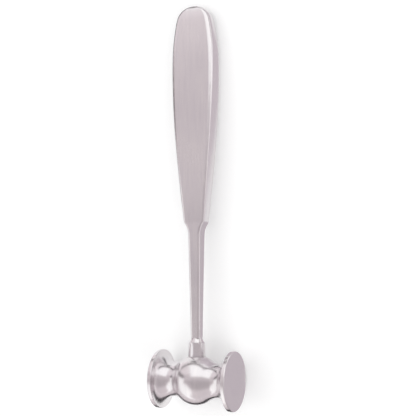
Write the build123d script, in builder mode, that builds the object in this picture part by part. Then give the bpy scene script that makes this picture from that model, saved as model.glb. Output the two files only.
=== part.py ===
from build123d import *
import os
from math import asin, atan2, cos, hypot, pi, sin, sqrt

# Surgical mallet, all stainless steel, lying at rest on its two disc rims and
# the end of its grip. X runs along the head, +Y from the head to the grip, +Z up.

# Head, turned in one piece about its own axis
head_length = 38.0
disc_diameter = 27.0
disc_thickness = 1.86
disc_edge_radius = 0.4
disc_back_edge_radius = 0.25
ball_diameter = 22.8
waist_diameter = 15.7

# Grip, the rounded slab at the handle's far end, its reach measured from the head's axis
handle_reach = 175.1
grip_width = 21.1
grip_widest_to_end = 26.0
dome_radius = 8.8
grip_thickness = 10.0
grip_thickest_to_end = 58.0
grip_end_thickness = 8.4
nose_length = 8.0
dome_edge_radius = 2.3
edge_swell_length = 55.0

# Shank, from the collar up to the scallops that widen it into the grip's shoulder
shoulder_at = 72.4
shoulder_width = 10.4
shoulder_edge_radius = 1.2
scallop_length = 5.9
shank_top_width = 6.1
shank_top_thickness = 6.9
shank_foot_at = 19.0
shank_foot_width = 4.5
shank_foot_thickness = 5.0
edge_radius = 1.2

# Collar and threaded spigot at the foot of the handle
collar_foot_diameter = 8.0
collar_top_diameter = 7.7
collar_height = 6.5
collar_edge = 0.25
flare_foot_diameter = 6.8
flare_height = 4.8
flare_sink = 0.1
spigot_diameter = 5.0
spigot_length = 7.0
spigot_tip_chamfer = 0.6
thread_clearance = 0.1
bore_end_clearance = 1.0

# Head sizes that follow: the groove's circle touches the ball, is lowest at the waist
# and ends at the disc's back edge, which fixes its centre and its radius
half_head = head_length / 2
disc_radius = disc_diameter / 2
ball_radius = ball_diameter / 2
waist_radius = waist_diameter / 2
disc_back_at = half_head - disc_thickness
disc_rise = disc_radius - waist_radius
rise_share = (ball_radius - waist_radius) / disc_rise
term_b = rise_share * disc_back_at
term_c = ball_radius ** 2 - waist_radius ** 2 + rise_share * (disc_back_at ** 2 + disc_rise ** 2)
waist_at = (sqrt(term_b ** 2 + (1 - rise_share) * term_c) - term_b) / (1 - rise_share)
groove_radius = ((disc_back_at - waist_at) ** 2 + disc_rise ** 2) / (2 * disc_rise)
groove_height = waist_radius + groove_radius
seat_at = sqrt(ball_radius ** 2 - (collar_foot_diameter / 2) ** 2)
collar_top_at = seat_at + collar_height

# Handle sizes that follow: the scallop is an arc that leaves the shank straight, and
# the dome's circle runs tangent into the flank's larger one, which is widest square on
half_grip = grip_width / 2
half_shoulder = shoulder_width / 2
shank_top_at = shoulder_at - scallop_length
scallop_rise = (shoulder_width - shank_top_width) / 2
scallop_radius = (scallop_length ** 2 + scallop_rise ** 2) / (2 * scallop_rise)
scallop_turn = asin(scallop_length / scallop_radius)
shank_swell = (shank_top_thickness - shank_foot_thickness) / (shank_top_at - shank_foot_at) / 2
widest_at = handle_reach - grip_widest_to_end
thickest_at = handle_reach - grip_thickest_to_end
dome_at = handle_reach - dome_radius
dome_run = dome_at - widest_at
flank_radius = (half_grip ** 2 + dome_run ** 2 - dome_radius ** 2) / (
    2 * (half_grip - dome_radius)
)
dome_turn = atan2(dome_run, flank_radius - half_grip)
dome_from = dome_at + dome_radius * sin(dome_turn)


def ease(share):
    """Rises from 0 to 1 with a level start and a level end."""
    return share ** 2 * (3 - 2 * share)


def half_width(place):
    """Half the handle's width: shank, scallop, slender neck, wide flank and dome."""
    if place <= shank_top_at:
        share = (place - shank_foot_at) / (shank_top_at - shank_foot_at)
        return (shank_foot_width + share * (shank_top_width - shank_foot_width)) / 2
    if place < shoulder_at:
        rise = scallop_radius - sqrt(scallop_radius ** 2 - (place - shank_top_at) ** 2)
        return shank_top_width / 2 + rise
    if place < widest_at:
        share = (place - shoulder_at) / (widest_at - shoulder_at)
        swell = (half_grip - half_shoulder) * (ease(share) + 1.3 * share * (1 - share) ** 2)
        return half_shoulder + swell
    if place < dome_from:
        return half_grip - flank_radius + sqrt(flank_radius ** 2 - (place - widest_at) ** 2)
    return sqrt(dome_radius ** 2 - (place - dome_at) ** 2)


def half_thickness(place):
    """Half the handle's thickness: a straight shank, the grip's belly and its nose."""
    if place <= shoulder_at:
        return shank_foot_thickness / 2 + (place - shank_foot_at) * shank_swell
    if place < thickest_at:
        fall = grip_thickness / 2 - half_thickness(shoulder_at)
        return grip_thickness / 2 - fall * ((thickest_at - place) / (thickest_at - shoulder_at)) ** 1.7
    fall = (grip_thickness - grip_end_thickness) / 2
    belly = fall * ((place - thickest_at) / (handle_reach - nose_length - thickest_at)) ** 2
    nose = max(0, 1 - (handle_reach - place) / nose_length)
    return (grip_thickness / 2 - belly) * (1 - nose ** 3) ** (1 / 3)


def corner_radius(place):
    """Radius of the handle's long edges, which swells towards the dome."""
    share = 1 - (dome_at - place) / edge_swell_length
    radius = edge_radius + (dome_edge_radius - edge_radius) * ease(min(max(share, 0), 1))
    return min(radius, 0.96 * half_width(place), 0.96 * half_thickness(place))


def tilt_touching(place):
    """Slope at which the back of the handle at this place touches the resting surface."""
    half = half_thickness(place)
    return asin(disc_radius / hypot(place, half)) - atan2(half, place)


def spaced(start, stop, steps):
    """Evenly spaced places from the start up to, but without, the stop."""
    return [start + (stop - start) * step / steps for step in range(steps)]


# The handle slopes down until its back touches the surface that the rims stand on
tilt = min(tilt_touching(place) for place in spaced(thickest_at, handle_reach, 400))

# The origin is on that surface, below the middle of the whole mallet
head_y = (disc_radius - handle_reach * cos(tilt)) / 2
head_centre = (0, head_y, disc_radius)
along_handle = (0, cos(tilt), -sin(tilt))
side_plane = Plane(origin=head_centre, x_dir=along_handle, z_dir=(1, 0, 0))
cross_plane = Plane(origin=head_centre, x_dir=(1, 0, 0), z_dir=along_handle)

# Head: a ball between two waists that flare out to the striking discs
ball_share = ball_radius / (ball_radius + groove_radius)
ball_end = (ball_share * waist_at, ball_share * groove_height)

with BuildPart() as head:
    with BuildSketch(Plane(origin=head_centre)):
        with BuildLine():
            ball = TangentArc((0, ball_radius), ball_end, tangent=(1, 0))
            groove = TangentArc(ball_end, (disc_back_at, disc_radius), tangent=ball % 1)
            Polyline((disc_back_at, disc_radius), (half_head, disc_radius), (half_head, 0))
            mirror(about=Plane.YZ)
            Line((-half_head, 0), (half_head, 0))
        make_face()
    revolve(axis=Axis(head_centre, (1, 0, 0)))
    rims = head.edges().filter_by(GeomType.CIRCLE).group_by(Axis.X)
    fillet(rims[0] + rims[-1], disc_edge_radius)
    backs = head.edges().filter_by(
        lambda edge: edge.geom_type == GeomType.CIRCLE
        and abs(edge.radius - disc_radius) < disc_edge_radius / 2
        and abs(abs(edge.center().X) - disc_back_at) < disc_edge_radius / 2
    )
    fillet(backs, disc_back_edge_radius)
    # Flat seat for the collar on the ball, and the blind bore for the spigot
    with BuildSketch(cross_plane.offset(seat_at)):
        Circle(collar_foot_diameter)
    extrude(amount=ball_radius - seat_at + 1, mode=Mode.SUBTRACT)
    with Locations(cross_plane.offset(seat_at)):
        Hole(spigot_diameter / 2 + thread_clearance, depth=spigot_length + bore_end_clearance)
head.part.label = "head"

# Handle: one loft through rounded sections, which stand closer where it changes faster
shoulder_cut = shoulder_edge_radius * (1 / cos(scallop_turn / 2) - 1)
half_edge = shoulder_edge_radius / 2
neck_from = shoulder_at + 4 * shoulder_edge_radius
places = spaced(shank_foot_at, shank_top_at, 6)
places += spaced(shank_top_at, shoulder_at - shoulder_edge_radius, 4)
places += spaced(shoulder_at - shoulder_edge_radius, shoulder_at + shoulder_edge_radius, 4)
places += spaced(shoulder_at + shoulder_edge_radius, neck_from, 2)
places += spaced(neck_from, widest_at, 9)
places += spaced(widest_at, dome_from, 4)
places += [dome_at + dome_radius * sin(turn) for turn in spaced(dome_turn, pi / 2, 12)]

with BuildPart() as handle:
    for place in places:
        cut = shoulder_cut if abs(place - shoulder_at) < 0.01 else 0
        with BuildSketch(cross_plane.offset(place)):
            RectangleRounded(
                2 * (half_width(place) - cut),
                2 * half_thickness(place),
                corner_radius(place),
            )
    loft()
    # Collar, with the flare above it that the shank's facets run out on
    with BuildSketch(side_plane):
        with BuildLine():
            foot = collar_foot_diameter / 2
            top = collar_top_diameter / 2
            flare_top = collar_top_at + flare_height
            flare_top_radius = shank_foot_width / 2 - flare_sink
            Polyline(
                (flare_top, 0),
                (seat_at, 0),
                (seat_at, foot),
                (collar_top_at - collar_edge, top),
                (collar_top_at, top - collar_edge),
                (collar_top_at, flare_foot_diameter / 2),
            )
            TangentArc(
                (flare_top, flare_top_radius),
                (collar_top_at, flare_foot_diameter / 2),
                tangent=(-1, 0),
            )
            Line((flare_top, flare_top_radius), (flare_top, 0))
        make_face()
    revolve(axis=Axis(head_centre, along_handle))
    # Spigot that the head screws onto, drawn at its thread's outer diameter
    with BuildSketch(cross_plane.offset(seat_at)):
        Circle(spigot_diameter / 2)
    extrude(amount=-spigot_length)
    spigot_end = handle.faces().sort_by(Axis(head_centre, along_handle))[0].edges()
    chamfer(spigot_end, spigot_tip_chamfer)
handle.part.label = "handle"

os.makedirs("parts", exist_ok=True)
export_step(head.part, "parts/head.step")
export_step(handle.part, "parts/handle.step")
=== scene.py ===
from math import asin, atan2, cos, hypot, radians, sin

import bpy
from mathutils import Matrix, Vector


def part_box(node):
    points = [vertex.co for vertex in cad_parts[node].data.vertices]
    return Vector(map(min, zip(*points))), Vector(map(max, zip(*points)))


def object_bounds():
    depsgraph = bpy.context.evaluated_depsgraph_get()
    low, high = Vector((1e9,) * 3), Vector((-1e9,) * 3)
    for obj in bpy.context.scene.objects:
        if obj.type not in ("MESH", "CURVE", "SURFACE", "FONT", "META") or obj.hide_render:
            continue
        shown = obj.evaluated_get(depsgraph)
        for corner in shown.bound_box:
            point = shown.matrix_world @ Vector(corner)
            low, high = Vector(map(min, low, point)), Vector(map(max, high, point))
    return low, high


# Surgical mallet, all stainless steel, lying at rest on its two disc rims and the end of
# its grip. X runs along the head, +Y from the head to the grip, +Z up. Lengths in metres.
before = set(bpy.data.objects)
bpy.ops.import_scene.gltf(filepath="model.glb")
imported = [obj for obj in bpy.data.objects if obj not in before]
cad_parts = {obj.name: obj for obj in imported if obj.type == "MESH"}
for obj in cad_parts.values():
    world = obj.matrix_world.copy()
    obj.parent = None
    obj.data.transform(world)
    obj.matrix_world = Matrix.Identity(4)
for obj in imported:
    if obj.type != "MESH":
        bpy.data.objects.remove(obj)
cad_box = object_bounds()
middle = (cad_box[0] + cad_box[1]) / 2
head_low, head_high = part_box("head")
head_centre = (head_low + head_high) / 2
disc_radius = (head_high.z - head_low.z) / 2

# The handle leaves the head's centre at a right angle to the head and slopes down until
# the grip's back touches the floor, this far from the head's axis and this half thick
GRIP_REST_AT = 0.16872
GRIP_REST_HALF_THICKNESS = 0.0041358
tilt = asin(disc_radius / hypot(GRIP_REST_AT, GRIP_REST_HALF_THICKNESS))
tilt -= atan2(GRIP_REST_HALF_THICKNESS, GRIP_REST_AT)
across = Vector((1, 0, 0))
along = Vector((0, cos(tilt), -sin(tilt)))
face_up = across.cross(along)

# Camera, solved from the outlines in the photograph, in pixels of its square frame: the
# place of the head's centre there, its distance from the lens, and how far the camera is
# turned about the handle, tipped along it and rolled
PHOTO_SIZE = 416
FOCAL_PIXELS = 887.4
HEAD_PIXEL = (196.96, 379.93)
HEAD_DEPTH = 0.4076
CAMERA_TURN = radians(23.885)
CAMERA_RISE = radians(-4.343)
CAMERA_ROLL = radians(-0.288)
SENSOR_WIDTH_MM = 36


def add_camera():
    """Looks down on the lying mallet, with the grip towards the top of the picture."""
    back = (
        across * sin(CAMERA_TURN) * cos(CAMERA_RISE)
        + face_up * cos(CAMERA_TURN) * cos(CAMERA_RISE)
        + along * sin(CAMERA_RISE)
    )
    level_right = across * cos(CAMERA_TURN) - face_up * sin(CAMERA_TURN)
    level_up = back.cross(level_right)
    right = level_right * cos(CAMERA_ROLL) + level_up * sin(CAMERA_ROLL)
    up = back.cross(right)
    half = PHOTO_SIZE / 2
    aside = (HEAD_PIXEL[0] - half) / FOCAL_PIXELS * HEAD_DEPTH
    above = (half - HEAD_PIXEL[1]) / FOCAL_PIXELS * HEAD_DEPTH
    data = bpy.data.cameras.new("camera")
    data.sensor_width = SENSOR_WIDTH_MM
    data.lens = FOCAL_PIXELS / PHOTO_SIZE * data.sensor_width
    data.clip_start = 0.01
    data.clip_end = 20
    camera = bpy.data.objects.new("camera", data)
    turn = Matrix((right, up, back)).transposed().to_4x4()
    place = head_centre - right * aside - up * above + back * HEAD_DEPTH
    camera.matrix_world = Matrix.Translation(place) @ turn
    bpy.context.scene.collection.objects.link(camera)
    bpy.context.scene.camera = camera
    return turn


class Nodes:
    """Adds nodes to one tree and links them by keyword."""

    def __init__(self, tree):
        self.tree = tree
        tree.nodes.clear()

    def add(self, kind, settings=None, **inputs):
        """A node with its inputs given by name, or by number as _0, _1 and _2."""
        node = self.tree.nodes.new(kind)
        for name, value in (settings or {}).items():
            setattr(node, name, value)
        for name, value in inputs.items():
            self.put(node, name, value)
        return node

    def put(self, node, name, value):
        """Links the value to the input if it comes from a node, and otherwise sets it."""
        key = int(name[1:]) if name[1:].isdigit() else name.replace("_", " ")
        socket = node.inputs[key]
        if isinstance(value, bpy.types.NodeSocket):
            self.tree.links.new(value, socket)
        else:
            socket.default_value = value

    def math(self, operation, first, second=0.0):
        node = self.add("ShaderNodeMath", {"operation": operation}, _0=first, _1=second)
        return node.outputs[0]

    def product(self, *parts):
        result = parts[0]
        for part in parts[1:]:
            result = self.math("MULTIPLY", result, part)
        return result

    def vector_math(self, operation, first, second):
        return self.add("ShaderNodeVectorMath", {"operation": operation}, _0=first, _1=second)

    def noise(self, vector, scale, detail, roughness):
        inputs = {"Vector": vector, "Scale": scale, "Detail": detail, "Roughness": roughness}
        return self.add("ShaderNodeTexNoise", **inputs).outputs["Fac"]

    def apart(self, vector):
        """The vector's X, Y and Z."""
        return self.add("ShaderNodeSeparateXYZ", Vector=vector).outputs

    def ramp(self, value, low, high, out_low=0.0, out_high=1.0, kind="LINEAR"):
        """Goes from out_low at low to out_high at high, and is level on both sides."""
        node = self.add("ShaderNodeMapRange", {"interpolation_type": kind}, Value=value)
        limits = {"From Min": low, "From Max": high, "To Min": out_low, "To Max": out_high}
        for name, number in limits.items():
            node.inputs[name].default_value = number
        return node.outputs["Result"]

    def ease(self, value, low, high):
        """Rises smoothly from 0 at low to 1 at high, and falls where high is the lower."""
        return self.ramp(value, low, high, kind="SMOOTHSTEP")

    def seen(self):
        """1 for a ray that shows a thing itself, straight, in metal or through glass."""
        rays = self.add("ShaderNodeLightPath").outputs
        shown = self.math("MAXIMUM", rays["Is Camera Ray"], rays["Is Glossy Ray"])
        return self.math("MAXIMUM", shown, rays["Is Transmission Ray"])


def new_material(name):
    material = bpy.data.materials.new(name)
    material.use_nodes = True
    return material, Nodes(material.node_tree)


# Satin steel: its colour, and the slightly darker and lighter streaks in it
STEEL = (0.76, 0.73, 0.742)
DARK_STREAK = (0.97, 0.97, 0.98)
LIGHT_STREAK = (1.03, 1.03, 1.02)

# Its roughness, how far grain and smudges change it, and how far handling has polished
# the edges, over this width
ROUGHNESS = 0.23
GRAIN_ROUGHNESS = 0.03
SMUDGE_ROUGHNESS = 0.025
EDGE_POLISH = 0.06
EDGE_WIDTH = 0.0005

# The grain's height and strength, and how wide and how strong the shade is that is painted into
# the creases
GRAIN_HEIGHT = 0.00002
GRAIN_STRENGTH = 0.2
PAINTED_SHADE_WIDTH = 0.0012
PAINTED_CREASE_SHADE = 0.7

# Waves of noise to the metre: rings turned on the head, scratches ground on the handle,
# the broader streaks as a share of both, and the smudges on each
RINGS = 9000.0
RING_STREAKS = 0.15
SCRATCHES_ACROSS = 5000.0
SCRATCHES_ALONG = 250.0
SCRATCH_STREAKS = (0.2, 0.25, 0.2)
HEAD_SMUDGES = 90.0
HANDLE_SMUDGES = 60.0


def steel_tint(factors):
    return (*(part * factor for part, factor in zip(STEEL, factors)), 1)


def satin_steel(name, grain, smudges):
    """Stainless steel with a fine grain, drawn from the vectors that grain gives."""
    material, nodes = new_material(name)
    place = nodes.add("ShaderNodeTexCoord").outputs["Object"]
    grain_vector, streak_vector = grain(nodes, place)
    fine = nodes.noise(grain_vector, 1.0, 3.0, 0.6)
    soft = nodes.noise(place, smudges, 2.0, 0.5)
    streak = nodes.noise(streak_vector, 1.0, 2.0, 0.5)

    # Roughness, with the edges smoother than the faces
    grained = nodes.ramp(fine, 0.3, 0.7, -GRAIN_ROUGHNESS, GRAIN_ROUGHNESS)
    smudged = nodes.ramp(soft, 0.3, 0.7, -SMUDGE_ROUGHNESS, SMUDGE_ROUGHNESS)
    inside = {"samples": 8, "inside": True}
    edge = nodes.add("ShaderNodeAmbientOcclusion", inside, Distance=EDGE_WIDTH)
    polished = nodes.product(nodes.ease(edge.outputs["AO"], 0.85, 0.45), EDGE_POLISH)
    roughness = nodes.math("ADD", grained, ROUGHNESS)
    roughness = nodes.math("ADD", roughness, smudged)
    roughness = nodes.math("SUBTRACT", roughness, polished)

    # Colour, streaked, and with shade painted into the creases
    shade = nodes.math("ADD", nodes.product(soft, 0.5), nodes.product(streak, 0.5))
    color = {"data_type": "RGBA"}
    tint = nodes.add("ShaderNodeMix", color, Factor=nodes.ramp(shade, 0.35, 0.65))
    tint.inputs["A"].default_value = steel_tint(DARK_STREAK)
    tint.inputs["B"].default_value = steel_tint(LIGHT_STREAK)
    # Painted shade: ambient occlusion darkens the colour in creases and recesses
    painted_crease_shade = nodes.add("ShaderNodeAmbientOcclusion", {"samples": 8}, Distance=PAINTED_SHADE_WIDTH)
    nodes.put(painted_crease_shade, "Color", tint.outputs["Result"])
    multiply = {"data_type": "RGBA", "blend_type": "MULTIPLY"}
    dark = nodes.add("ShaderNodeMix", multiply, Factor=PAINTED_CREASE_SHADE)
    nodes.put(dark, "A", tint.outputs["Result"])
    nodes.put(dark, "B", painted_crease_shade.outputs["AO"])

    bump = nodes.add("ShaderNodeBump", Height=fine, Strength=GRAIN_STRENGTH, Distance=GRAIN_HEIGHT)
    shader = nodes.add(
        "ShaderNodeBsdfPrincipled",
        Base_Color=dark.outputs["Result"],
        Metallic=1.0,
        Roughness=roughness,
        Normal=bump.outputs["Normal"],
    )
    nodes.add("ShaderNodeOutputMaterial", Surface=shader.outputs["BSDF"])
    return material


def turned_grain(nodes, place):
    """Fine rings about the head's axis."""
    apart = nodes.apart(place)
    aside = nodes.math("SUBTRACT", apart["Y"], head_centre.y)
    height = nodes.math("SUBTRACT", apart["Z"], head_centre.z)
    square = nodes.math("ADD", nodes.product(aside, aside), nodes.product(height, height))
    radius = nodes.math("SQRT", square)
    rings = nodes.add(
        "ShaderNodeCombineXYZ",
        X=nodes.product(apart["X"], RINGS),
        Y=nodes.product(radius, RINGS),
    ).outputs["Vector"]
    streaks = nodes.vector_math("MULTIPLY", rings, (RING_STREAKS, RING_STREAKS, RING_STREAKS))
    return rings, streaks.outputs["Vector"]


def ground_grain(nodes, place):
    """Fine scratches along the handle."""
    turned = nodes.add("ShaderNodeMapping", {"vector_type": "POINT"}, Vector=place)
    turned.inputs["Rotation"].default_value = (tilt, 0, 0)
    apart = nodes.apart(turned.outputs["Vector"])
    scratches = nodes.add(
        "ShaderNodeCombineXYZ",
        X=nodes.product(apart["X"], SCRATCHES_ACROSS),
        Y=nodes.product(apart["Y"], SCRATCHES_ALONG),
        Z=nodes.product(apart["Z"], SCRATCHES_ACROSS),
    ).outputs["Vector"]
    streaks = nodes.vector_math("MULTIPLY", scratches, SCRATCH_STREAKS)
    return scratches, streaks.outputs["Vector"]


def dress(node, material):
    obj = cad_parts[node]
    obj.data.materials.clear()
    obj.data.materials.append(material)


# Floor and room, which are white where they are seen, and two soft lamps, placed from the
# mallet's middle, that the steel doesn't mirror
WHITE = (1, 1, 1, 1)
FLOOR_SIZE = 6
FLOOR_HEIGHT = -0.0003
FLOOR_COLOR = (0.86, 0.86, 0.86, 1)
FLOOR_LIFT = 0.22
ROOM_LEVEL = 0.7
KEY_PLACE = Vector((-0.4, 0.1, 0.9))
KEY_SIZE = 1.2
KEY_WATTS = 3.5
FILL_PLACE = Vector((0.8, -0.5, 0.7))
FILL_SIZE = 0.8
FILL_WATTS = 2.5


def add_floor():
    """A plain pale floor that runs out of sight, white to the camera but for the shadow."""
    bpy.ops.mesh.primitive_plane_add(size=FLOOR_SIZE, location=(0, 0, FLOOR_HEIGHT))
    floor = bpy.context.object
    floor.name = "floor"
    material, nodes = new_material("floor_white")
    shadowed = nodes.add("ShaderNodeBsdfDiffuse", Color=FLOOR_COLOR).outputs[0]
    lift = nodes.add("ShaderNodeEmission", Color=WHITE, Strength=FLOOR_LIFT).outputs[0]
    both = nodes.add("ShaderNodeAddShader", _0=shadowed, _1=lift).outputs[0]
    shown = nodes.add("ShaderNodeMixShader", _0=nodes.seen(), _1=shadowed, _2=both)
    nodes.add("ShaderNodeOutputMaterial", Surface=shown.outputs[0])
    floor.data.materials.append(material)


def add_world():
    world = bpy.data.worlds.new("studio")
    world.use_nodes = True
    nodes = Nodes(world.node_tree)
    room = nodes.add("ShaderNodeBackground", Color=WHITE, Strength=ROOM_LEVEL).outputs[0]
    white = nodes.add("ShaderNodeBackground", Color=WHITE, Strength=1.0).outputs[0]
    shown = nodes.add("ShaderNodeMixShader", _0=nodes.seen(), _1=room, _2=white)
    nodes.add("ShaderNodeOutputWorld", Surface=shown.outputs[0])
    bpy.context.scene.world = world


def add_softbox(name, offset, size, watts):
    """A square soft lamp, aimed at the mallet."""
    data = bpy.data.lights.new(name, "AREA")
    data.shape = "RECTANGLE"
    data.size = size
    data.size_y = size
    data.energy = watts
    lamp = bpy.data.objects.new(name, data)
    lamp.location = middle + offset
    lamp.rotation_euler = offset.to_track_quat("Z", "Y").to_euler()
    lamp.visible_glossy = False
    bpy.context.scene.collection.objects.link(lamp)


# What the steel mirrors is a tent of white cloth, in the shades that the photograph's
# reflections show. Seen from the mallet, a lift is an angle above the camera and an aside
# one to its right, in degrees. A band starts at its first angle and is full at its second.
TENT_RADIUS = 1.0
TENT_LEVEL = 0.82
CARD = (1, 0.92, 0.95, 1)
CARD_BELOW = 0.85
WHITE_ABOVE = 1.15

# Cloth before the mallet, as its level and what each band of lifts adds
FRONT_LEVEL = 0.65
CEILING = (17, 24)
CEILING_END = (105, 85)
CEILING_LIGHT = 0.74
FRONT_BANDS = (((-8, 10), 0.15), ((-30, -50), 0.3))

# Cloth at the left, which takes over between these two X, and more light at the right
LEFT_FROM = (-0.35, -0.66)
LEFT_LEVEL = 0.70
LEFT_BANDS = (((0, 6), 0.22), ((11, 18), -0.08), ((31, 43), 0.28))
RIGHT_FROM = (0.6, 0.85)
RIGHT_LIGHT = 0.15

# Window low at the left, as its direction and the angles from it where its light starts
# and is full, and a lit strip that stands at the left below this height
WINDOW = Vector((-0.72, -0.62, 0.30))
WINDOW_ANGLES = (35, 17)
STRIP_ASIDES = ((-58, -68), (-98, -88))
STRIP_TOP = (0.1, 0.02)
WINDOW_LIGHT = 0.75

# Dark card at the far left, between these heights, and the dark skirt round the tent's
# foot beyond the grip
DARK_ASIDES = (-60, -74)
DARK_HEIGHTS = ((0.08, 0.16), (0.36, 0.27))
SKIRT_TOP = (0.24, 0.1)
SKIRT_FROM = (0.3, 0.6)
DARK_SHARE = 0.8


def mirrored_only(obj):
    """Leaves the object to the steel's reflections: no picture, light or shadow of it."""
    for ray in ("camera", "diffuse", "transmission", "volume_scatter", "shadow"):
        setattr(obj, "visible_" + ray, False)


def add_tent(turn):
    """A tent of white cloth and grey cards that only the metal's reflections show."""
    bpy.ops.mesh.primitive_ico_sphere_add(subdivisions=5, radius=TENT_RADIUS, location=middle)
    tent = bpy.context.object
    tent.name = "tent"
    tent.rotation_euler = turn.to_euler()
    material, nodes = new_material("tent_cloth")
    place = nodes.add("ShaderNodeTexCoord").outputs["Object"]
    apart = nodes.apart(place)
    lift = nodes.math("ARCTAN2", apart["Y"], apart["Z"])
    aside = nodes.math("ARCTAN2", apart["X"], apart["Z"])

    def band(angle, limits):
        return nodes.ease(angle, radians(limits[0]), radians(limits[1]))

    def banded(level, bands):
        for limits, more in bands:
            level = nodes.math("ADD", level, nodes.product(band(lift, limits), more))
        return level

    ceiling = nodes.product(band(lift, CEILING), band(lift, CEILING_END), CEILING_LIGHT)
    front = banded(nodes.math("ADD", FRONT_LEVEL, ceiling), FRONT_BANDS)
    left = banded(LEFT_LEVEL, LEFT_BANDS)
    leftness = nodes.ease(apart["X"], *LEFT_FROM)
    not_left = nodes.math("SUBTRACT", 1.0, leftness)
    light = nodes.math("ADD", nodes.product(front, not_left), nodes.product(left, leftness))
    right = nodes.ease(apart["X"], *RIGHT_FROM)
    light = nodes.math("ADD", light, nodes.product(right, RIGHT_LIGHT))

    nearness = nodes.vector_math("DOT_PRODUCT", place, WINDOW).outputs["Value"]
    window = nodes.ease(nearness, *(cos(radians(angle)) for angle in WINDOW_ANGLES))
    strip = nodes.product(*(band(aside, limits) for limits in STRIP_ASIDES))
    lit_strip = nodes.product(strip, nodes.ease(apart["Y"], *STRIP_TOP))
    lit = nodes.math("MAXIMUM", window, lit_strip)
    light = nodes.math("ADD", light, nodes.product(lit, WINDOW_LIGHT))

    world_up = turn.inverted().to_3x3() @ Vector((0, 0, 1))
    height = nodes.vector_math("DOT_PRODUCT", place, world_up).outputs["Value"]
    skirt = nodes.product(nodes.ease(height, *SKIRT_TOP), nodes.ease(apart["Y"], *SKIRT_FROM))
    heights = (nodes.ease(apart["Y"], *limits) for limits in DARK_HEIGHTS)
    dark = nodes.product(band(aside, DARK_ASIDES), *heights)
    shade = nodes.product(nodes.math("MAXIMUM", skirt, dark), DARK_SHARE)
    light = nodes.product(light, nodes.math("SUBTRACT", 1.0, shade), TENT_LEVEL)

    whiteness = nodes.ease(light, CARD_BELOW, WHITE_ABOVE)
    cloth = nodes.add("ShaderNodeMix", {"data_type": "RGBA"}, Factor=whiteness)
    cloth.inputs["A"].default_value = CARD
    cloth.inputs["B"].default_value = WHITE
    glow = nodes.add("ShaderNodeEmission", Color=cloth.outputs["Result"], Strength=light)
    nodes.add("ShaderNodeOutputMaterial", Surface=glow.outputs[0])
    tent.data.materials.append(material)
    mirrored_only(tent)


# Cards on the floor round the mallet that only the steel mirrors: name, lowest and
# highest corner in X and Y, colour and level
CARD_HEIGHT = 0.0003
LAVENDER = (1, 0.91, 0.97, 1)
DARK = (0.9, 0.85, 1, 1)
axis_y = head_centre.y
FLOOR_CARDS = (
    ("dark_flag", (-0.3, axis_y - 0.05), (0.3, axis_y - 0.025), DARK, 0.03),
    ("grey_flag", (-0.3, axis_y - 0.6), (0.3, axis_y - 0.05), CARD, 0.8),
    ("side_flag", (0.0195, axis_y - 0.025), (0.06, axis_y + 0.016), LAVENDER, 0.63),
    ("grip_flag", (0.0115, axis_y + 0.016), (0.035, 0.3), LAVENDER, 0.69),
    ("shank_flag", (0.003, axis_y + 0.016), (0.0115, axis_y + 0.07), LAVENDER, 0.62),
    # Painted shadow: this near-black card under the shank stands in for the shade beneath the
    # mallet, as the steel mirrors it
    ("painted_shadow_under_shank", (-0.009, axis_y + 0.022), (-0.002, axis_y + 0.075), LAVENDER, 0.06),
    ("left_flag", (-0.045, axis_y + 0.08), (-0.011, 0.3), LAVENDER, 0.08),
    ("pale_left", (-0.3, axis_y + 0.03), (-0.046, 0.1), CARD, 1.0),
    ("pale_right", (0.06, axis_y + 0.016), (0.3, 0.1), CARD, 1.0),
)


def add_floor_card(name, low, high, color, level):
    place = ((low[0] + high[0]) / 2, (low[1] + high[1]) / 2, CARD_HEIGHT)
    bpy.ops.mesh.primitive_plane_add(size=1, location=place)
    card = bpy.context.object
    card.name = name
    card.scale = (high[0] - low[0], high[1] - low[1], 1)
    material, nodes = new_material(name)
    glow = nodes.add("ShaderNodeEmission", Color=color, Strength=level)
    nodes.add("ShaderNodeOutputMaterial", Surface=glow.outputs[0])
    card.data.materials.append(material)
    mirrored_only(card)


camera_turn = add_camera()
dress("head", satin_steel("turned_steel", turned_grain, HEAD_SMUDGES))
dress("handle", satin_steel("ground_steel", ground_grain, HANDLE_SMUDGES))
add_floor()
add_world()
add_softbox("key", KEY_PLACE, KEY_SIZE, KEY_WATTS)
add_softbox("fill", FILL_PLACE, FILL_SIZE, FILL_WATTS)
add_tent(camera_turn)
for floor_card in FLOOR_CARDS:
    add_floor_card(*floor_card)

bpy.context.scene.view_settings.view_transform = "Standard"
